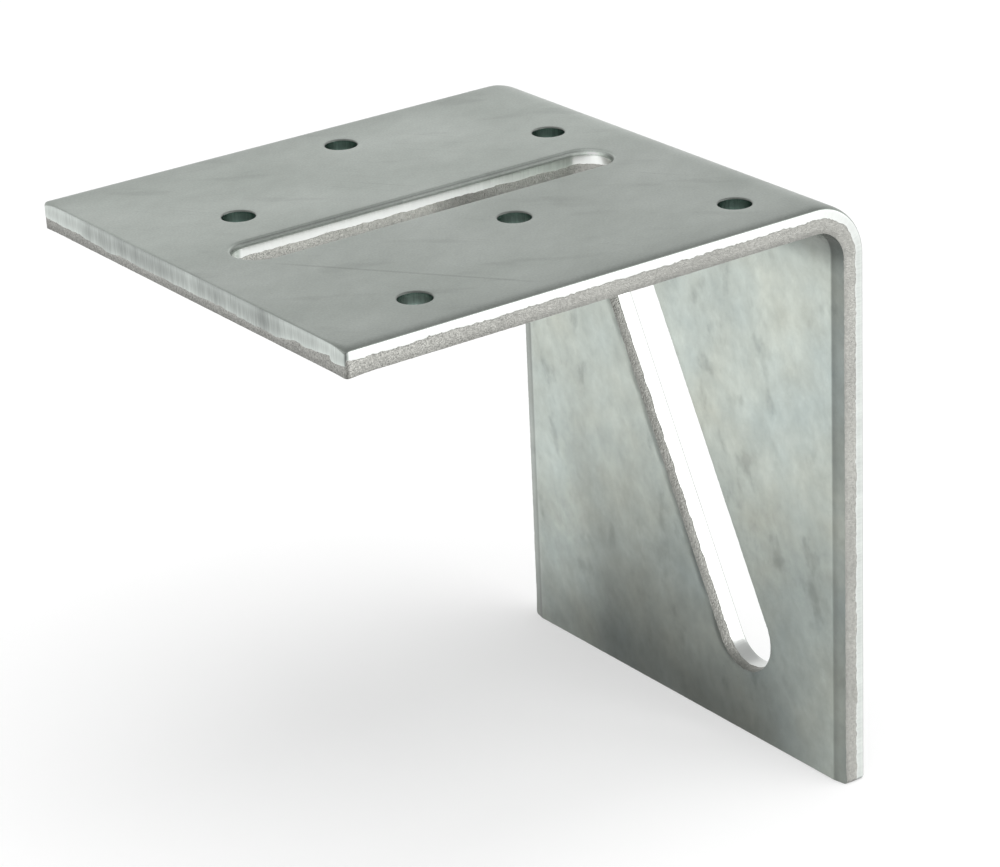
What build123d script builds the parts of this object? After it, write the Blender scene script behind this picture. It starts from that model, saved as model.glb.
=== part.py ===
from build123d import *

import os
from math import atan, degrees

# Heavy angle bracket, punched and folded from one strip of steel plate.
# The top leg lies flat and the other leg hangs down from the bend at its +X end.
# X runs from the free end of the top leg to the outer face of the hanging leg, Y runs
# across the strip and Z is up. The origin is under the middle of the bracket, level
# with the lower edge of the hanging leg. All sizes are in millimetres.

os.makedirs("parts", exist_ok=True)

# Strip and fold
top_leg = 112.5          # free end to the outer face of the hanging leg
hanging_leg = 119.0      # top face down to the lower edge
strip_width = 100.0
plate = 5.3              # 5 mm plate with its zinc coat
bend_inside = 6.0        # radius of the fold on the inner face
corner_round = 0.7       # the four cropped corners of the strip

# Cropped and punched edges: the punch enters at the outer face, which rolls over,
# then the steel shears bright for a part of its thickness and tears to the inner face
roll_over = 0.45         # rounded arris round the outer face
rim_roll_over = 0.3      # rounded rims of the punched holes and slots
sheared = 2.5            # bright depth at the long edges, the holes and the top slot
sheared_end = 3.6        # bright depth at the two cropped ends of the strip
sheared_wall_slot = 3.5  # bright depth in the long diagonal slot
tear = 0.25              # how far the torn part stands back at the inner face

# Flattened burr along both long edges of the inner face
bevel_width = 3.1
bevel_depth = 0.45

# Screw holes: three columns of two, the middle column stepped sideways
hole_diameter = 6.2
first_column = 22.3      # from the free end
middle_column = 58.8     # from the free end
last_column = 8.9        # short of the fold
near_row = 12.0          # from the -Y edge of the strip
far_row = 11.0           # from the +Y edge of the strip
stagger = 21.2           # step of the middle column towards +Y

# Straight slot along the top leg, midway between the rows of holes
top_slot_width = 10.0
top_slot_start = 10.8    # free end to the nearer round end
top_slot_stop = 8.2      # farther round end to the fold

# Diagonal slot in the hanging leg, placed by the centres of its two round ends
wall_slot_width = 15.0
wall_slot_low_edge = 29.5    # lower centre from the -Y edge of the strip
wall_slot_low_rise = 21.7    # lower centre above the lower edge
wall_slot_high_edge = 32.6   # upper centre from the +Y edge of the strip
wall_slot_high_drop = 14.9   # upper centre below the fold

bend_outside = bend_inside + plate
free_end = -top_leg / 2
wall_x = top_leg / 2
near_y = -strip_width / 2
far_y = strip_width / 2
top_z = hanging_leg
fold_x = wall_x - bend_outside   # where the flat of the top leg ends
fold_z = top_z - bend_outside    # where the flat of the hanging leg begins

top_face_plane = Plane(origin=(0, 0, top_z), x_dir=(1, 0, 0), z_dir=(0, 0, 1))
wall_face_plane = Plane(origin=(wall_x, 0, 0), x_dir=(0, 1, 0), z_dir=(1, 0, 0))

columns = [free_end + first_column, free_end + middle_column, fold_x - last_column]
low_row = near_y + near_row
high_row = far_y - far_row - stagger
outer_holes = [(x, y) for x in (columns[0], columns[2]) for y in (low_row, high_row)]
middle_holes = [(columns[1], y + stagger) for y in (low_row, high_row)]
hole_places = outer_holes + middle_holes

top_slot_length = fold_x - top_slot_stop - (free_end + top_slot_start)
top_slot_middle = (
    free_end + top_slot_start + top_slot_length / 2,
    (low_row + high_row + stagger) / 2,
)
wall_slot_low = Vector(near_y + wall_slot_low_edge, wall_slot_low_rise)
wall_slot_high = Vector(far_y - wall_slot_high_edge, fold_z - wall_slot_high_drop)


def tear_angle(bright):
    """Taper of the torn part of a punched wall, below its bright depth."""
    return degrees(atan(tear / (plate - bright)))


with BuildPart() as bracket:
    # One strip, folded down through a right angle
    with BuildSketch(Plane.XZ) as side_profile:
        with BuildLine():
            Polyline((free_end, top_z), (wall_x, top_z), (wall_x, 0), (wall_x - plate, 0),
                     (wall_x - plate, top_z - plate), (free_end, top_z - plate), close=True)
        make_face()
        fillet(side_profile.vertices().filter_by_position(Axis.Y, top_z, top_z)
               .sort_by(Axis.X)[-1:], bend_outside)
        fillet(side_profile.vertices().filter_by_position(Axis.X, wall_x - plate, wall_x - plate)
               .sort_by(Axis.Y)[-1:], bend_inside)
    extrude(amount=strip_width / 2, both=True)

    # Corners of the strip
    fillet(bracket.edges().filter_by(Axis.Z).group_by(Axis.X)[0], corner_round)
    fillet(bracket.edges().filter_by(Axis.X).group_by(Axis.Z)[0], corner_round)

    # Rounded arris all round the outer face of the strip
    top_face = bracket.faces().filter_by(Axis.Z).sort_by(Axis.Z)[-1]
    wall_face = bracket.faces().filter_by(Axis.X).sort_by(Axis.X)[-1]
    outer_bend = bracket.faces().filter_by(GeomType.CYLINDER).sort_by(SortBy.AREA)[-1]
    fold_lines = outer_bend.edges().filter_by(Axis.Y)
    outline = top_face.edges() + wall_face.edges() + outer_bend.edges().filter_by(GeomType.CIRCLE)
    fillet([edge for edge in outline if not any(edge.is_same(line) for line in fold_lines)],
           roll_over)

    # Torn and flattened part of both long edges, carried round the inside of the fold
    with BuildLine(Plane.XZ) as fold_line:
        FilletPolyline((free_end, top_z - plate), (wall_x - plate, top_z - plate),
                       (wall_x - plate, 0), radius=bend_inside)
    with BuildSketch(Plane(origin=(free_end, 0, top_z - plate), x_dir=(0, 1, 0),
                           z_dir=(1, 0, 0))) as long_edges:
        with BuildLine():
            Polyline((near_y, plate - sheared), (near_y + tear, bevel_depth),
                     (near_y + bevel_width, 0), (near_y, 0), close=True)
        make_face()
        mirror(about=Plane.XZ)
    sweep(path=fold_line.line, mode=Mode.SUBTRACT)

    # Torn part of the two cropped ends
    with BuildSketch(Plane.XZ):
        with BuildLine():
            Polyline((free_end, top_z - sheared_end), (free_end, top_z - plate),
                     (free_end + tear, top_z - plate), close=True)
        make_face()
        with BuildLine():
            Polyline((wall_x - sheared_end, 0), (wall_x - plate, 0), (wall_x - plate, tear),
                     close=True)
        make_face()
    extrude(amount=strip_width / 2, both=True, mode=Mode.SUBTRACT)

    # Round holes and the straight slot of the top leg: bright through the thickness,
    # with rounded rims
    with BuildSketch(top_face_plane) as top_punches:
        with Locations(*hole_places):
            Circle(hole_diameter / 2)
        with Locations(top_slot_middle):
            SlotOverall(top_slot_length, top_slot_width)
    extrude(amount=-plate, mode=Mode.SUBTRACT)
    fillet(bracket.faces().filter_by(Axis.Z).sort_by(Axis.Z)[-1].inner_wires().edges(),
           rim_roll_over)

    # The diagonal slot of the hanging leg
    with BuildSketch(wall_face_plane) as wall_punch:
        SlotCenterPoint((wall_slot_low + wall_slot_high) / 2, wall_slot_high, wall_slot_width)
    extrude(amount=-plate, mode=Mode.SUBTRACT)
    fillet(bracket.faces().filter_by(Axis.X).sort_by(Axis.X)[-1].inner_wires().edges(),
           rim_roll_over)

    # Torn walls, which open out to the inner face
    with BuildSketch(top_face_plane.offset(-sheared)):
        add(top_punches.sketch_local)
    extrude(amount=-(plate - sheared), taper=-tear_angle(sheared), mode=Mode.SUBTRACT)
    with BuildSketch(wall_face_plane.offset(-sheared_wall_slot)):
        add(wall_punch.sketch_local)
    extrude(amount=-(plate - sheared_wall_slot), taper=-tear_angle(sheared_wall_slot),
            mode=Mode.SUBTRACT)

bracket.part.label = "angle_bracket"
export_step(bracket.part, "parts/angle_bracket.step")
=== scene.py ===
from math import atan2, cos, pi, radians, sin

import bmesh
import bpy
import numpy as np
from mathutils import Matrix, Vector, noise
from mathutils.geometry import delaunay_2d_cdt


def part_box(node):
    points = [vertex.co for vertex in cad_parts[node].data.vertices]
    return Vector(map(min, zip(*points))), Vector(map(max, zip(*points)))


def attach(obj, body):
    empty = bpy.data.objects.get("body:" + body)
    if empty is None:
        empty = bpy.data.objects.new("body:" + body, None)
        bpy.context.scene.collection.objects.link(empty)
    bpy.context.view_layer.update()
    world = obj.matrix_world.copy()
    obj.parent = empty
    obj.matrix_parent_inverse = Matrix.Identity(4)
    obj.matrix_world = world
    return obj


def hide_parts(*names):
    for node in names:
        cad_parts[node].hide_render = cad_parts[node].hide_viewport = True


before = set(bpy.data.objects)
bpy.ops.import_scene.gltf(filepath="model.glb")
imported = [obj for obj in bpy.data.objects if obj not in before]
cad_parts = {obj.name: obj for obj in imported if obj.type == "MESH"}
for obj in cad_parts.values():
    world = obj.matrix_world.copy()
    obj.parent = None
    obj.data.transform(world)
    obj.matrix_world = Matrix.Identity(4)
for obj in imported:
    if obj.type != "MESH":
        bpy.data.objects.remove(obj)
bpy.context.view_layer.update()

# Angle bracket: one strip of zinc-coated steel plate, cropped to length, punched and folded.
# It is drawn flat, in millimetres: s runs along the strip from the free end of the top leg,
# y runs across it and the depth goes down from the outer face. Then it is folded.
plate = 5.3
strip_width = 100.0
bend_inside = 6.0
bend_outside = bend_inside + plate
box_low, box_high = (np.array(corner) * 1000 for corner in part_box("angle_bracket"))
free_end, wall_x, top_z = box_low[0], box_high[0], box_high[2]
top_flat = wall_x - bend_outside - free_end
wall_flat = top_z - bend_outside
bend_length = pi / 2 * (bend_inside + plate / 2)
fold_end = top_flat + bend_length
strip_length = fold_end + wall_flat
half_width = strip_width / 2


def fold(flat):
    """Places points of the flat strip (s, y, depth) on the folded bracket, in metres."""
    s, y, depth = flat.T
    turn = np.clip(s - top_flat, 0, bend_length) / bend_length * pi / 2
    down = np.maximum(s - fold_end, 0)
    radius = bend_outside - depth
    x = free_end + np.minimum(s, top_flat) + radius * np.sin(turn)
    z = top_z - bend_outside + radius * np.cos(turn) - down
    return np.stack([x, y, z], axis=1) / 1000


def uneven(points, size, seed, octaves=3):
    """Noise between about -1 and 1 at each point, with patches of about this size in mm."""
    shift = Vector((seed, 2 * seed, 3 * seed))
    return np.array([noise.fractal(Vector(point) / size + shift, 0.6, 2.1, octaves) for point in points])


def near(distance, place, reach):
    """A share that is 1 at a place and fades out smoothly within about the reach."""
    return np.exp(-((distance - place) / reach) ** 2)


def ragged(points, depth, *swings):
    """Depth of a ragged line. Each swing has a height, a length and a seed."""
    return depth + sum(height * uneven(points, length, seed) for height, length, seed in swings)


def walk_round(corners, radius, spacing):
    """Steps round an outline with round corners, counter-clockwise: for each step the centre
    that it turns about and the way it faces."""
    centres = []
    facings = []
    sides = [corners[(i + 1) % len(corners)] - corner for i, corner in enumerate(corners)]
    angles = [atan2(-side.x, side.y) if side.length else -pi / 2 for side in sides]
    for i, corner in enumerate(corners):
        turn = (angles[i] - angles[i - 1]) % (2 * pi) or 2 * pi
        steps = max(4, round(turn * radius / spacing))
        for k in range(steps + (len(corners) > 1)):
            angle = angles[i - 1] + turn * k / steps
            centres.append(corner)
            facings.append((cos(angle), sin(angle)))
        steps = round(sides[i].length / spacing)
        for k in range(1, steps):
            centres.append(corner + sides[i] * k / steps)
            facings.append((cos(angles[i]), sin(angles[i])))
    return np.array(centres), np.array(facings)


# Flattened burr along both long edges of the inner face, running out at the free end
burr_width = 3.1
burr_depth = 0.15
wall_burr_depth = 0.8
burr_run_out = 6.0


def inner_depth(s, y):
    """Depth of the inner face, which the flattened burr lifts at the long edges."""
    across = np.clip((np.abs(y) - half_width + burr_width) / burr_width, 0, 1)
    along = np.clip(s / burr_run_out, 0, 1)
    round_bend = np.clip((s - top_flat) / bend_length, 0, 1)
    return plate - (burr_depth + (wall_burr_depth - burr_depth) * round_bend) * across * along


flat_points = []
tones = []
rim_dark_and_blue = []
faces = []
face_zones = []
sharp_rows = []
outer_rims = []
inner_rims = []
outer_skin, inner_skin, sheared_band, torn_band = range(4)


def add_row(across, depth, tone, dark=0.0):
    """Adds one closed row of points and returns their numbers."""
    first = len(flat_points)
    depth = np.broadcast_to(depth, len(across))
    flat_points.extend(np.column_stack([across, depth]))
    tones.extend(np.broadcast_to(tone, len(across)))
    rim_dark_and_blue.extend(np.broadcast_to(dark, len(across)))
    return list(range(first, len(flat_points)))


def add_band(row, next_row, zone):
    """Joins two closed rows with four-cornered faces."""
    count = len(row)
    for i in range(count):
        k = (i + 1) % count
        faces.append((row[i], row[k], next_row[k], next_row[i]))
        face_zones.append(zone)


# Every cut edge, from the outer face down: a roll-over, the sheared part, a small ledge at its
# ragged lower line, and the torn part, which stands back most at its lip
roll_rows = 6
sheared_rows = 6
torn_rows = 9
roll_shade_reach = 0.45
edge_gleam = 0.6
middle_shade = 0.2
ledge = 0.07
ledge_drop = 0.03
least_setback = 0.02
tear = 0.25
lip_depth = 1.5
lip_tear = 0.4
lip_tone = 0.7
grain_size = 0.55
swell_size = 2.4
swell_share = 0.8
smooth_reach = 0.35
smooth_gleam = 0.12


def darkening(roll_tone):
    """Tones of the rows of a roll-over, painted shade that darkens it evenly to this tone."""
    return [1 + (roll_tone - 1) * sin(k / roll_rows * pi / 2) ** 2 for k in range(roll_rows)]


def cut_edge(place, roll_width, roll_drop, roll_tones, bright, relief, tone, torn_tone,
             tear_share=1.0, rim_dark=0.0, blued=0.0, top_tone=1.0):
    """Builds one cropped or punched edge. The steel is bright down to a ragged line."""
    previous = None
    for k in range(roll_rows + 1):
        turn = k / roll_rows * pi / 2
        # Painted shade: the roll-over rows take their tones from roll_tones, and the last one from top_tone
        shade = roll_tones[k] if k < roll_rows else tone * top_tone
        row = add_row(place(roll_width * (1 - sin(turn))), roll_drop * (1 - cos(turn)), shade, blued)
        if previous:
            add_band(previous, row, outer_skin)
        else:
            outer_rims.append(row)
        previous = row
    for k in range(1, sheared_rows + 1):
        share = k / sheared_rows
        below_roll = (bright - roll_drop) * share
        # Painted light on the sheared part where its tone is low: a painted sheen at its upper and lower
        # edge and painted shade in its middle. Below the roll-over top_tone paints shade that fades within
        # roll_shade_reach
        shade = tone * (1 + (1 - tone) * (edge_gleam * (2 * share - 1) ** 2 - middle_shade))
        shade = shade * (1 - (1 - top_tone) * near(below_roll, 0, roll_shade_reach))
        row = add_row(place(0 * bright), roll_drop + below_roll, shade, blued)
        add_band(previous, row, sheared_band)
        previous = row
    sharp_rows.append(previous)
    across = place(ledge + 0 * bright)
    ledge_bottom = bright + ledge_drop
    for k in range(torn_rows + 1):
        share = k / torn_rows
        depth = ledge_bottom + (inner_depth(*across.T) - ledge_bottom) * share
        points = np.column_stack([across, depth])
        rough = uneven(points, grain_size, 4.7, 2) + swell_share * uneven(points, swell_size, 9.2, 2)
        lip = np.clip((depth - plate + lip_depth) / lip_depth, 0, 1)
        setback = ledge + tear * (share + lip_tear * lip ** 2) + relief * rough * min(1, 3 * share)
        across = place(np.maximum(setback * tear_share, least_setback))
        # The lip is painted darker by lip_tone, as painted shade where it turns downward
        shade = torn_tone * (1 + (lip_tone - 1) * lip + smooth_gleam * near(depth, bright, smooth_reach))
        row = add_row(across, depth, shade, rim_dark)
        add_band(previous, row, torn_band)
        previous = row
    sharp_rows.append(previous)
    inner_rims.append(previous)


# The cropped outline of the strip: two long edges, and two ends where the shear cut deeper
corner_round = 0.7
outline_spacing = 0.42
long_sheared = 2.15
end_sheared = 3.6
outline_low = np.array([corner_round, corner_round - half_width])
outline_high = np.array([strip_length - corner_round, half_width - corner_round])
outline_middle = (outline_low + outline_high) / 2
outline_half = (outline_high - outline_low) / 2
outline_corners = [
    Vector((outline_low[0], outline_low[1])),
    Vector((outline_high[0], outline_low[1])),
    Vector((outline_high[0], outline_high[1])),
    Vector((outline_low[0], outline_high[1])),
]
centres, facings = walk_round(outline_corners, corner_round, outline_spacing)


def outline_place(setback):
    """Points round the outline, set back into the plate."""
    inset = np.reshape(setback, (len(centres), -1))
    return outline_middle + (centres - outline_middle) * (1 - inset / outline_half) + facings * corner_round


outline = centres + facings * corner_round
outline_points = np.column_stack([outline, np.zeros(len(outline))])
long_edge = facings[:, 1] ** 2
end_edge = 1 - long_edge
corner_edge = long_edge * end_edge
near_half = outline[:, 1] < 0
from_long_edge = half_width - np.abs(outline[:, 1])
from_end = np.minimum(outline[:, 0], strip_length - outline[:, 0])
from_corner = np.hypot(from_end, from_long_edge)

long_line = ragged(outline_points, long_sheared, (0.1, 0.5, 6.7), (0.2, 2.8, 3.1), (0.2, 0.8, 8.4))
end_line = ragged(outline_points, end_sheared, (0.45, 9.0, 5.3), (0.12, 1.3, 1.9), (0.1, 0.7, 2.6))
end_line -= 0.3 * near(from_corner, 0, 2) + 0.45 * near(from_corner, 12, 9)

# Next to the -Y corners the steel broke away early, with a sharp notch
notch_place = 4.7
notch_depth = 0.85
notch_reach = 2.2
past_notch = from_corner - notch_place
end_line -= near_half * (past_notch > 0) * notch_depth * np.exp(-np.abs(past_notch) / notch_reach)
end_line -= near_half * 0.6 * near(from_corner, 15, 1.8)

# The ends are darker than the long edges, partly duller steel with single streaks and partly painted shade,
# and sag at their corners. The long edges are painted darker down the hanging leg, as painted shade
end_sag = end_edge * np.exp(-(from_long_edge / 2.2) ** 1.2)
long_side = np.maximum(long_edge, np.exp(-(from_long_edge / 2.2) ** 1.5))
end_tone = 0.41 + 0.21 * near(from_long_edge, 3, np.where(near_half, 24, 14))
for streak_y, streak_reach, streak in ((-39, 3, -0.06), (-25, 3, -0.16), (0, 4, 0.09)):
    end_tone += streak * near(outline[:, 1], streak_y, streak_reach)
long_tone = 1 - 0.2 * np.clip((outline[:, 0] - top_flat) / bend_length, 0, 1)

# The roll-over is wide on the long edges, and narrow at the ends except near their corners
end_roll = 0.5 + 0.9 * long_side
long_roll = 2.2 + 0 * long_edge
cut_edge(
    outline_place,
    roll_width=np.column_stack([end_roll, long_roll]),
    roll_drop=0.14 + 0.42 * long_edge + 0.9 * end_sag,
    roll_tones=darkening(0.95),
    bright=np.where(long_edge > 0.5, long_line, end_line),
    relief=0.07,
    # Painted shade darkens the sheared and torn parts at the round corners
    tone=(long_edge * long_tone + end_edge * end_tone) * (1 - 3.2 * corner_edge),
    torn_tone=(0.78 + 0.22 * long_edge) * (1 - 1.6 * corner_edge),
    tear_share=(0.4 + 0.6 * long_edge) * (1 - 0.8 * near(from_corner, 0, 2.5)),
)

# Six screw holes, the straight slot of the top leg and the diagonal slot of the hanging leg,
# all punched from the outer face. Each is a round shape carried between its corner centres.
hole_radius = 3.1
columns = (22.3, 58.8, top_flat - 8.9)
low_row = 12.0 - half_width
high_row = low_row + 55.8
stagger = 21.2
top_slot_radius = 5.0
top_slot_ends = (10.8 + top_slot_radius, top_flat - 8.2 - top_slot_radius)
wall_slot_radius = 7.5
wall_slot_low = Vector((strip_length - 21.7, 29.5 - half_width))
wall_slot_high = Vector((fold_end + 14.9, half_width - 32.6))
hole_spacing = 0.3
slot_spacing = 0.42
punches = []


def punch(corners, radius, walk, roll_width, roll_drop, roll_tones, bright_depth, tone, torn_tone,
          blued=0.0, top_tone=1.0):
    """Punches one opening through the strip, along a walk round its outline."""
    centres, facings = walk
    rim = np.column_stack([centres + facings * radius, np.zeros(len(centres))])

    def punch_place(setback):
        """Points round the opening, set back into the plate."""
        return centres + facings * (radius + np.reshape(setback, (len(centres), 1)))

    cut_edge(
        punch_place,
        roll_width=np.full(len(centres), roll_width),
        roll_drop=roll_drop,
        roll_tones=roll_tones,
        bright=ragged(rim, bright_depth, (0.2, 2.8, 3.1), (0.1, 0.6, 8.4)),
        relief=0.06,
        tone=tone,
        torn_tone=torn_tone,
        # The inner face round each rim is darker, most on the rim's +y side
        rim_dark=0.2 + 0.8 * np.maximum(facings[:, 1], 0),
        blued=blued,
        top_tone=top_tone,
    )
    punches.append((corners, radius))


# The holes are painted dark inside, as painted shade in the hollow, with a painted dark ring at the rim, and
# tarnished blue-green, the darker ones more
hole_tones = ((0.5, 0.41), (0.46, 0.41), (0.36, 0.4))
for column, step, column_tones in zip(columns, (0, stagger, 0), hole_tones):
    for row_y, hole_tone in zip((low_row, high_row), column_tones):
        hole = [Vector((column, row_y + step))]
        punch(
            hole, hole_radius, walk_round(hole, hole_radius, hole_spacing),
            roll_width=0.4,
            roll_drop=0.3,
            roll_tones=darkening(0.3),
            bright_depth=2.5,
            tone=hole_tone,
            torn_tone=0.6,
            blued=np.clip(2.4 - 3.4 * hole_tone, 0, 1),
        )

# The top slot's sheared part is painted darker near the fold and its torn part for a short way, both as
# painted shade. Its rim rolls over in one painted dark line, with a painted highlight at both round ends,
# more at the one by the fold
top_slot_y = (low_row + high_row + stagger) / 2
top_slot = [Vector((end, top_slot_y)) for end in top_slot_ends]
centres, facings = walk_round(top_slot, top_slot_radius, slot_spacing)
along = centres[:, 0]
straight = np.abs(facings[:, 0]) < 0.1
end_side = np.sign(along - 50)
shine = (0.6 + 0.4 * end_side) * np.maximum(0.8 * end_side * facings[:, 0] + 0.6 * facings[:, 1], 0) ** 6
painted_dark_line = (1.0, 1.0, 1.1, 0.54, 0.34, 0.38)
punch(
    top_slot, top_slot_radius, (centres, facings),
    roll_width=0.9,
    roll_drop=1.15,
    roll_tones=[row_tone + shine * k / 3 for k, row_tone in enumerate(painted_dark_line)],
    bright_depth=2.75,
    tone=1 - 0.25 * (np.clip((along - 52) / 36, 0, 1) * straight) ** 2,
    torn_tone=1.2 - 0.25 * np.clip((along - 56) / 2, 0, 1) - 0.3 * near(along, 64, 6),
    top_tone=0.84 + 0.16 * shine,
)

# The diagonal slot sheared bright for most of its depth
wall_slot = [wall_slot_low, wall_slot_high]
punch(
    wall_slot, wall_slot_radius, walk_round(wall_slot, wall_slot_radius, slot_spacing),
    roll_width=0.8,
    roll_drop=0.45,
    roll_tones=darkening(0.75),
    bright_depth=3.5,
    tone=1.0,
    torn_tone=1.05,
)

# The outer and inner faces between the rims, with a closer ring of points round each opening
cap_grid = 2.4
fold_steps = 25
across_steps = 39
ring_gap = 2.2
ring_spacing = 1.0
grid_gap = 3.0


def clear_of_punches(point):
    """Whether a place on the flat strip lies on plate, outside the rings."""
    for corners, radius in punches:
        start = corners[0]
        along = corners[-1] - start
        share = (point - start).dot(along) / along.length_squared if along.length else 0
        if (point - start - along * min(max(share, 0), 1)).length < radius + grid_gap:
            return False
    return True


def add_cap(rims, depth_of, zone, edge_margin, creases):
    """Fills the plate's outer or inner face between its rims, with points through the middle."""
    numbers = [number for rim in rims for number in rim]
    spots = [Vector(flat_points[number][:2]) for number in numbers]
    lines = []
    first = 0
    for rim in rims:
        lines += [(first + i, first + (i + 1) % len(rim)) for i in range(len(rim))]
        first += len(rim)
    steps = list(np.arange(edge_margin, top_flat - 0.5, cap_grid))
    steps += list(np.linspace(top_flat, fold_end, fold_steps))
    steps += list(np.arange(fold_end + 1, strip_length - edge_margin, cap_grid))
    crease_y = half_width - burr_width
    for side in creases:
        line = [s for s in steps if 1 < s < strip_length - 1]
        lines += [(len(spots) + i, len(spots) + i + 1) for i in range(len(line) - 1)]
        spots += [Vector((s, side * crease_y)) for s in line]
    across = list(np.linspace(-crease_y + 1.2, crease_y - 1.2, across_steps))
    if not creases:
        across = [edge_margin - half_width] + across + [half_width - edge_margin]
    for corners, radius in punches:
        ring_centres, ring_facings = walk_round(corners, radius, ring_spacing)
        spots += [Vector(spot) for spot in ring_centres + ring_facings * (radius + ring_gap)]
    spots += [Vector((s, y)) for s in steps for y in across if clear_of_punches(Vector((s, y)))]
    made, _, triangles, sources, _, _ = delaunay_2d_cdt(spots, lines, [], 1, 1e-6)
    rim_of = {number: i for i, rim in enumerate(rims) for number in rim}
    placed = []
    for spot, source in zip(made, sources):
        known = [i for i in source if i < len(numbers)]
        if known:
            placed.append(numbers[known[0]])
        else:
            placed.append(len(flat_points))
            flat_points.append(np.array([spot.x, spot.y, depth_of(spot.x, spot.y)]))
            tones.append(1.0)
            rim_dark_and_blue.append(0.0)
    for triangle in triangles:
        corners = [placed[i] for i in triangle]
        touched = {rim_of.get(number, 0) for number in corners}
        # Triangles that lie wholly on one punched rim would close the opening
        if len(touched) == 1 and touched != {0}:
            continue
        faces.append(corners)
        face_zones.append(zone)


add_cap(outer_rims, lambda s, y: 0.0, outer_skin, 3.2, ())
add_cap(inner_rims, inner_depth, inner_skin, 1.6, (-1, 1))

flat_points = np.array(flat_points)
mesh = bpy.data.meshes.new("folded_plate")
mesh.from_pydata(fold(flat_points).tolist(), [], faces)
mesh.attributes.new("flat_place", "FLOAT_VECTOR", "POINT").data.foreach_set("vector", flat_points.ravel())
mesh.attributes.new("tone", "FLOAT", "POINT").data.foreach_set("value", np.array(tones))
mesh.attributes.new("rim_dark_and_blue", "FLOAT", "POINT").data.foreach_set("value", np.array(rim_dark_and_blue))
mesh.polygons.foreach_set("material_index", face_zones)
mesh.polygons.foreach_set("use_smooth", [True] * len(faces))
row_of = {number: i for i, row in enumerate(sharp_rows) for number in row}
shape = bmesh.new()
shape.from_mesh(mesh)
bmesh.ops.recalc_face_normals(shape, faces=shape.faces)
for edge in shape.edges:
    start, stop = (row_of.get(corner.index) for corner in edge.verts)
    edge.smooth = start is None or start != stop
shape.to_mesh(mesh)
shape.free()


def node(tree, kind, inputs=None, **settings):
    """Adds one node. An input takes a plain value, or the output that is linked to it."""
    made = tree.nodes.new(kind)
    for name, value in settings.items():
        setattr(made, name, value)
    for name, value in (inputs or {}).items():
        if isinstance(value, bpy.types.NodeSocket):
            tree.links.new(value, made.inputs[name])
        else:
            made.inputs[name].default_value = value
    return made


def calc(tree, operation, *values, **settings):
    """Adds one math node and returns what it puts out."""
    inputs = dict(enumerate(values))
    return node(tree, "ShaderNodeMath", inputs, operation=operation, **settings).outputs[0]


def vector_calc(tree, operation, *values):
    """Adds one vector math node."""
    return node(tree, "ShaderNodeVectorMath", dict(enumerate(values)), operation=operation)


def new_group(name, inputs, outputs):
    """Starts a shader node group and returns it with its input and output nodes."""
    group = bpy.data.node_groups.new(name, "ShaderNodeTree")
    for label, kind, value in inputs:
        socket = group.interface.new_socket(label, in_out="INPUT", socket_type=kind)
        if value is not None:
            socket.default_value = value
    for label, kind in outputs:
        group.interface.new_socket(label, in_out="OUTPUT", socket_type=kind)
    return group, node(group, "NodeGroupInput"), node(group, "NodeGroupOutput")


# Uneven tone and relief, stretched any way along the flat strip
patch_contrast = 2.0
patches, start, end = new_group(
    "patches",
    [("Place", "NodeSocketVector", None), ("Per mm", "NodeSocketVector", (1, 1, 1)),
     ("Turn", "NodeSocketFloat", 0.0), ("Amount", "NodeSocketFloat", 0.1),
     ("Detail", "NodeSocketFloat", 3.0)],
    [("Tone", "NodeSocketFloat"), ("Height", "NodeSocketFloat")],
)
turned = node(patches, "ShaderNodeVectorRotate",
              {"Vector": start.outputs["Place"], "Angle": start.outputs["Turn"]}, rotation_type="Z_AXIS")
scaled = vector_calc(patches, "MULTIPLY", turned.outputs[0], start.outputs["Per mm"])
cloud = node(patches, "ShaderNodeTexNoise",
             {"Vector": scaled.outputs[0], "Scale": 1.0, "Detail": start.outputs["Detail"]})
spread = calc(patches, "MULTIPLY", calc(patches, "SUBTRACT", cloud.outputs[0], 0.5), patch_contrast)
height = calc(patches, "ADD", spread, 0.5, use_clamp=True)
swing = calc(patches, "MULTIPLY", spread, start.outputs["Amount"])
patches.links.new(calc(patches, "ADD", swing, 1.0), end.inputs["Tone"])
patches.links.new(height, end.inputs["Height"])


def place_patches(tree, place, per_mm, amount, turn=0.0, detail=3.0):
    """Puts the patches group into a material with its own values."""
    return node(tree, "ShaderNodeGroup",
                {"Place": place, "Per mm": per_mm, "Turn": turn, "Amount": amount, "Detail": detail},
                node_tree=patches)


# Fine straight scratches, all running one way, as a mask
scratches, start, end = new_group(
    "scratches",
    [("Place", "NodeSocketVector", None), ("Turn", "NodeSocketFloat", 0.0),
     ("Share", "NodeSocketFloat", 0.7)],
    [("Mask", "NodeSocketFloat")],
)
turned = node(scratches, "ShaderNodeVectorRotate",
              {"Vector": start.outputs["Place"], "Angle": start.outputs["Turn"]}, rotation_type="Z_AXIS")
stretched = vector_calc(scratches, "MULTIPLY", turned.outputs[0], (0.035, 2.6, 0.0))
thread = node(scratches, "ShaderNodeTexNoise", {"Vector": stretched.outputs[0], "Scale": 1.0, "Detail": 2.0})
mask = node(scratches, "ShaderNodeMapRange",
            {"Value": thread.outputs[0], "From Min": start.outputs["Share"],
             "From Max": calc(scratches, "ADD", start.outputs["Share"], 0.1)})
scratches.links.new(mask.outputs[0], end.inputs["Mask"])


def place_scratches(tree, place, turn, share, depth):
    """Puts the scratches group into a material and returns the tone that it leaves."""
    mask = node(tree, "ShaderNodeGroup", {"Place": place, "Turn": turn, "Share": share}, node_tree=scratches)
    return calc(tree, "MULTIPLY_ADD", mask.outputs[0], -depth, 1.0)


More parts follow.
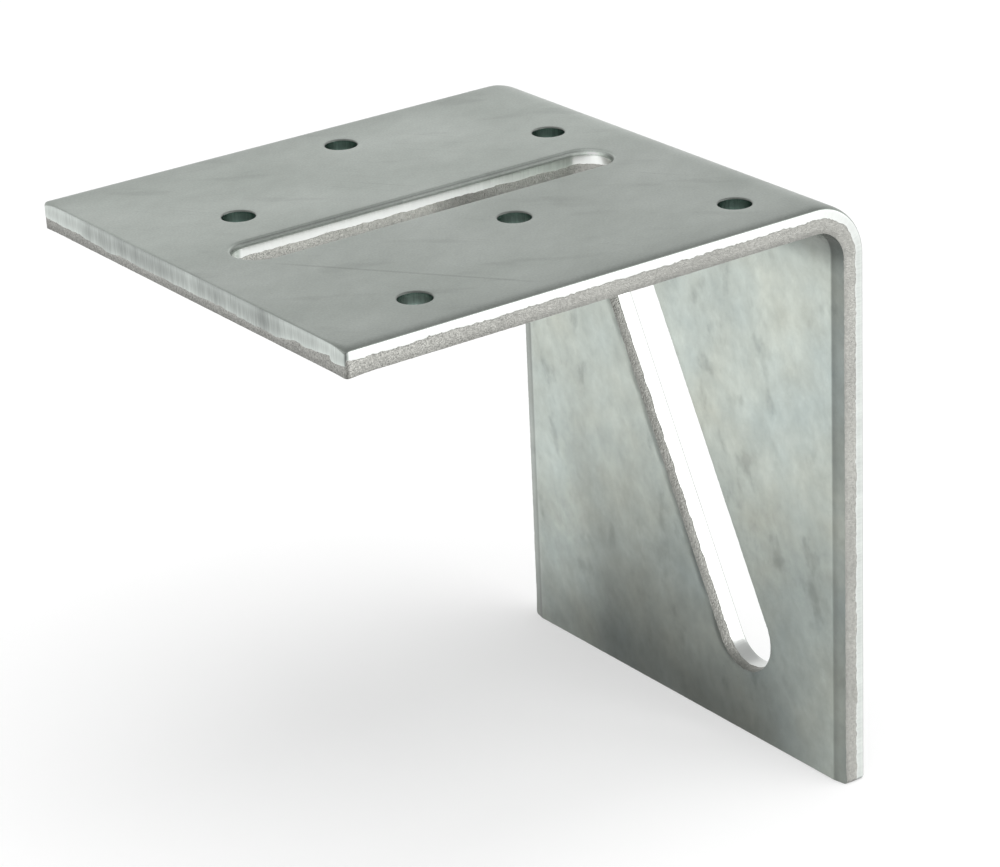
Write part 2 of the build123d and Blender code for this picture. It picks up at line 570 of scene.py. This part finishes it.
def metal(name, roughness, metallic=1.0):
    """Starts a metal material: its tree, the shader and the place on the flat strip."""
    material = bpy.data.materials.new(name)
    material.use_nodes = True
    tree = material.node_tree
    shader = tree.nodes["Principled BSDF"]
    shader.inputs["Metallic"].default_value = metallic
    shader.inputs["Roughness"].default_value = roughness
    place = node(tree, "ShaderNodeAttribute", attribute_name="flat_place").outputs["Vector"]
    return material, tree, shader, place


def painted(tree, name):
    """A share that the mesh carries at its points."""
    return node(tree, "ShaderNodeAttribute", attribute_name=name).outputs["Fac"]


def part_of(tree, place, axis):
    """Place along the strip (X) or across it (Y), in millimetres."""
    return node(tree, "ShaderNodeSeparateXYZ", {0: place}).outputs[axis]


def color_by(tree, shader, color, *tones):
    """Multiplies a colour by tones, one after another, and gives it to the shader."""
    for tone in tones:
        color = node(tree, "ShaderNodeVectorMath", {0: color, "Scale": tone}, operation="SCALE").outputs[0]
    tree.links.new(color, shader.inputs["Base Color"])


def relief(tree, shader, height, distance):
    """Feeds a height into the shader's normal. The distance is in metres."""
    bump = node(tree, "ShaderNodeBump", {"Height": height, "Distance": distance, "Strength": 1.0})
    tree.links.new(bump.outputs[0], shader.inputs["Normal"])


def fade(tree, value, start, stop, low, high=1.0):
    """A tone that goes smoothly from high to low as the value goes from start to stop."""
    return node(tree, "ShaderNodeMapRange",
                {"Value": value, "From Min": start, "From Max": stop, "To Min": high, "To Max": low},
                interpolation_type="SMOOTHSTEP").outputs[0]


def place_smears(tree, place, per_mm, turn, start, stop, depth):
    """Sparse soft smears: the darkest patches only, as a tone."""
    patch = place_patches(tree, place, per_mm, 0.0, turn=turn, detail=4.0)
    return fade(tree, patch.outputs["Height"], start, stop, 1 - depth)


def place_scratch(tree, place, start, stop, depth):
    """One long scratch between two places on the flat strip, as a tone."""
    start, stop = Vector(start), Vector(stop)
    length = (stop - start).length
    along = (stop - start).normalized()
    aside = Vector((-along.y, along.x, 0))
    moved = vector_calc(tree, "SUBTRACT", place, start).outputs[0]
    off = calc(tree, "ABSOLUTE", vector_calc(tree, "DOT_PRODUCT", moved, aside).outputs["Value"])
    run = vector_calc(tree, "DOT_PRODUCT", moved, along).outputs["Value"]
    run = calc(tree, "ABSOLUTE", calc(tree, "SUBTRACT", run, length / 2))
    inside = fade(tree, run, length * 0.3, length * 0.5, 0.0, depth)
    return calc(tree, "SUBTRACT", 1.0, calc(tree, "MULTIPLY", fade(tree, off, 0.1, 0.5, 0.0), inside))


def painted_shade(tree, amount, *shares):
    """Painted shade: a tone that is darker by the amount where all the shares are 1."""
    for share in shares:
        amount = calc(tree, "MULTIPLY", amount, share)
    return calc(tree, "SUBTRACT", 1.0, amount)


def tinted(tree, share, color, other):
    """Goes from one colour to another as the share goes from 0 to 1."""
    mix = node(tree, "ShaderNodeMix", data_type="RGBA")
    tree.links.new(share, mix.inputs["Factor"])
    for socket, value in ((6, color), (7, other)):
        if isinstance(value, tuple):
            mix.inputs[socket].default_value = (*value, 1.0)
        else:
            tree.links.new(value, mix.inputs[socket])
    return mix.outputs[2]


# Outer face: even grey zinc with faint smudges and scratches, darker towards the long edges
grey_zinc = (0.54, 0.59, 0.545)
light_zinc = (0.555, 0.595, 0.56)
outer, tree, shader, place = metal("zinc_outer", 0.38)
across = part_of(tree, place, "Y")
smudges = place_patches(tree, place, (0.03, 0.045, 0.1), 0.24)
mottle = place_patches(tree, place, (0.25, 0.4, 0.45), 0.07, turn=radians(-30))
fine = place_patches(tree, place, (2.2, 2.6, 2.6), 0.17)
color_by(
    tree, shader, tinted(tree, smudges.outputs["Height"], grey_zinc, light_zinc),
    smudges.outputs["Tone"],
    mottle.outputs["Tone"],
    fine.outputs["Tone"],
    painted(tree, "tone"),
    place_scratches(tree, place, radians(54), 0.66, 0.14),
    place_scratches(tree, place, radians(12), 0.68, 0.12),
    place_scratch(tree, place, (11.0, -4.0, 0.0), (44.5, -49.0, 0.0), 0.16),
    place_smears(tree, place, (0.05, 0.16, 0.1), radians(35), 0.62, 0.9, 0.1),
    fade(tree, calc(tree, "ABSOLUTE", across), half_width - 10, half_width, 0.87),
    fade(tree, across, -8.0, 15.0, 1.09, 0.95),
)
relief(tree, shader, mottle.outputs["Height"], 0.00001)

# Inner face: the same zinc, stained in soft patches, darker on the flattened burr and round the punched
# rims. Painted shade darkens it in the fold, towards the far long edge and towards the lower edge and its
# middle, where the face mirrors the bracket's shadow on the floor
warm_zinc = (0.55, 0.58, 0.515)
cool_zinc = (0.515, 0.58, 0.555)
stain_turn = radians(25)
crease = half_width - burr_width
shade_middle = -3.0
inner, tree, shader, place = metal("zinc_inner", 0.24)
along = part_of(tree, place, "X")
across = part_of(tree, place, "Y")
from_middle = calc(tree, "ABSOLUTE", across)
from_shade_middle = calc(tree, "ABSOLUTE", calc(tree, "SUBTRACT", across, shade_middle))
stains = place_patches(tree, place, (0.045, 0.07, 0.1), 0.18, turn=stain_turn)
spots = place_patches(tree, place, (0.13, 0.17, 0.5), 0.22, turn=stain_turn, detail=5.0)
specks = place_patches(tree, place, (0.42, 0.55, 0.8), 0.12, turn=stain_turn)
tints = place_patches(tree, place, (0.06, 0.06, 0.1), 0.0, turn=radians(70))
fine = place_patches(tree, place, (1.8, 2.2, 2.2), 0.06)
burr_tone = fade(tree, along, strip_length - 75, strip_length - 45, 0.6, 0.44)
rim = calc(tree, "MULTIPLY", painted(tree, "rim_dark_and_blue"), spots.outputs["Height"])
# Painted shade towards the lower edge and its middle, where the face mirrors the bracket's shadow on the
# floor
near_low = painted_shade(tree, 0.26, fade(tree, along, strip_length - 62, strip_length - 28, 1.0, 0.0),
                  fade(tree, across, 20.0, 42.0, 0.0))
low_middle = painted_shade(tree, 0.38, fade(tree, along, strip_length - 36, strip_length - 4, 1.0, 0.0),
                    fade(tree, from_shade_middle, 20.0, 42.0, 0.0))
lowest = painted_shade(tree, 0.32, fade(tree, along, strip_length - 16, strip_length - 2, 1.0, 0.0),
                fade(tree, across, -45.0, -15.0, 1.0, 0.0))
color_by(
    tree, shader, tinted(tree, tints.outputs["Height"], warm_zinc, cool_zinc),
    stains.outputs["Tone"],
    spots.outputs["Tone"],
    specks.outputs["Tone"],
    place_smears(tree, place, (0.1, 0.15, 0.3), radians(14), 0.64, 1.0, 0.24),
    fine.outputs["Tone"],
    fade(tree, from_middle, crease - 0.3, crease + 0.3, burr_tone),
    fade(tree, from_middle, crease + 0.3, crease + 1.6, 1.2),
    # Painted shade from here down: darker towards the lower edge and its middle, towards the far long edge
    # and in the fold
    fade(tree, along, strip_length - 45, strip_length, 0.86),
    near_low,
    low_middle,
    lowest,
    fade(tree, across, -5.0, 30.0, 0.9),
    fade(tree, along, fold_end - 1, fold_end + 4, 1.0, 0.5),
    fade(tree, rim, 0.0, 0.5, 0.5),
)
relief(tree, shader, spots.outputs["Height"], 0.00001)

# Sheared part: burnished by the blade, with fine lines down through the plate. It is greener and its lines
# stronger where its tone is darker, partly painted shade, and blue-green where it is tarnished
greener_steel = (0.885, 0.95, 0.905)
bright_steel = (0.925, 0.95, 0.925)
blued_steel = (0.66, 0.97, 0.86)
sheared, tree, shader, place = metal("sheared_steel", 0.28)
tone = painted(tree, "tone")
low_tone_amount = calc(tree, "MULTIPLY_ADD", tone, -0.6, 0.63)
lines = place_patches(tree, place, (3.0, 3.0, 0.2), low_tone_amount, detail=2.0)
broad = place_patches(tree, place, (0.25, 0.25, 0.05), low_tone_amount)
color = tinted(tree, fade(tree, tone, 0.65, 0.95, 1.0, 0.0), greener_steel, bright_steel)
color = tinted(tree, painted(tree, "rim_dark_and_blue"), color, blued_steel)
color_by(tree, shader, color, lines.outputs["Tone"], broad.outputs["Tone"], tone)
relief(tree, shader, lines.outputs["Height"], 0.00001)

# Torn part: dull, grainy and a little warmer, with more speckle near the free end
torn_grey = (0.44, 0.44, 0.412)
torn, tree, shader, place = metal("torn_steel", 0.36, 0.9)
broad = place_patches(tree, place, (0.06, 0.06, 0.1), 0.22)
grain = place_patches(tree, place, (1.6, 1.6, 1.6), 0.3)
speckling = fade(tree, part_of(tree, place, "X"), 5.0, 60.0, 0.22, 0.85)
speckle = place_patches(tree, place, (3.6, 3.6, 3.6), speckling, detail=1.0)
color_by(tree, shader, torn_grey, broad.outputs["Tone"], grain.outputs["Tone"], speckle.outputs["Tone"],
         painted(tree, "tone"))
relief(tree, shader, speckle.outputs["Height"], 0.0001)

for material in (outer, inner, sheared, torn):
    mesh.materials.append(material)
bracket = bpy.data.objects.new("folded_plate", mesh)
bpy.context.scene.collection.objects.link(bracket)
even_shading = bracket.modifiers.new("even_shading", "WEIGHTED_NORMAL")
even_shading.keep_sharp = True
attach(bracket, "root")
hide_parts("angle_bracket")

# Floor: one wide sheet of white paper under the bracket. What the camera and the metal see of
# it is mixed with plain white, for a paler shadow
floor_half = 4.0
paper_white = 0.96
white_share = 0.5
floor_mesh = bpy.data.meshes.new("floor")
floor_corners = [(-floor_half, -floor_half, 0), (floor_half, -floor_half, 0),
                 (floor_half, floor_half, 0), (-floor_half, floor_half, 0)]
floor_mesh.from_pydata(floor_corners, [], [(0, 1, 2, 3)])
floor = bpy.data.objects.new("floor", floor_mesh)
bpy.context.scene.collection.objects.link(floor)
paper = bpy.data.materials.new("white_paper")
paper.use_nodes = True
tree = paper.node_tree
paper_shader = tree.nodes["Principled BSDF"]
paper_shader.inputs["Base Color"].default_value = (paper_white, paper_white, paper_white, 1.0)
paper_shader.inputs["Roughness"].default_value = 1.0
paper_shader.inputs["Specular IOR Level"].default_value = 0.0
seen = node(tree, "ShaderNodeLightPath").outputs
seen_by = calc(tree, "ADD", seen["Is Camera Ray"], seen["Is Glossy Ray"])
seen_by = calc(tree, "ADD", seen_by, seen["Is Transmission Ray"], use_clamp=True)
share = calc(tree, "MULTIPLY", seen_by, white_share)
white = node(tree, "ShaderNodeEmission", {"Color": (1.0, 1.0, 1.0, 1.0), "Strength": 1.0})
mixed = node(tree, "ShaderNodeMixShader", {0: share, 1: paper_shader.outputs[0], 2: white.outputs[0]})
tree.links.new(mixed.outputs[0], tree.nodes["Material Output"].inputs["Surface"])
floor_mesh.materials.append(paper)

# Studio: bright all round the horizon and dimmer overhead, with a soft light from above that
# the metal doesn't mirror, and one wide softbox in front on the right
horizon_level = 0.75
zenith_level = 0.38
world = bpy.data.worlds.new("studio")
bpy.context.scene.world = world
world.use_nodes = True
tree = world.node_tree
height = part_of(tree, node(tree, "ShaderNodeTexCoord").outputs["Generated"], "Z")
level = fade(tree, height, 0.35, 0.8, zenith_level, horizon_level)
tree.links.new(level, tree.nodes["Background"].inputs["Strength"])
tree.nodes["Background"].inputs["Color"].default_value = (1, 1, 1, 1)

overhead_data = bpy.data.lights.new("overhead_light", "SUN")
overhead_data.energy = 2.0
overhead_data.angle = radians(50)
overhead = bpy.data.objects.new("overhead_light", overhead_data)
overhead_from = Vector((0.0, -0.3, 1.0))
overhead.rotation_euler = overhead_from.to_track_quat("Z", "Y").to_euler()
overhead.visible_glossy = False
bpy.context.scene.collection.objects.link(overhead)

softbox_distance = 1.4
front_data = bpy.data.lights.new("front_softbox", "AREA")
front_data.shape = "RECTANGLE"
front_data.size = 1.8
front_data.size_y = 1.1
front_data.energy = 6.5
front = bpy.data.objects.new("front_softbox", front_data)
front_from = Vector((0.56, -0.78, 0.22)).normalized()
front_turn = front_from.to_track_quat("Z", "Y").to_matrix().to_4x4()
front.matrix_world = Matrix.Translation(front_from * softbox_distance) @ front_turn
bpy.context.scene.collection.objects.link(front)

# Camera at the photograph's place and angle
camera_place = Vector((-0.34798, -0.5073, 0.33318))
camera_back = Vector((-0.52975, -0.75266, 0.39098)).normalized()
camera_roll = radians(-2.593)
focal_pixels = 3571.2
picture_width = 1000
camera_data = bpy.data.cameras.new("camera")
camera_data.sensor_width = 36.0
camera_data.lens = focal_pixels / picture_width * camera_data.sensor_width
camera = bpy.data.objects.new("camera", camera_data)
bpy.context.scene.collection.objects.link(camera)
rotation = camera_back.to_track_quat("Z", "Y").to_matrix() @ Matrix.Rotation(camera_roll, 3, "Z")
camera.matrix_world = Matrix.Translation(camera_place) @ rotation.to_4x4()
bpy.context.scene.camera = camera
bpy.context.scene.view_settings.view_transform = "Standard"
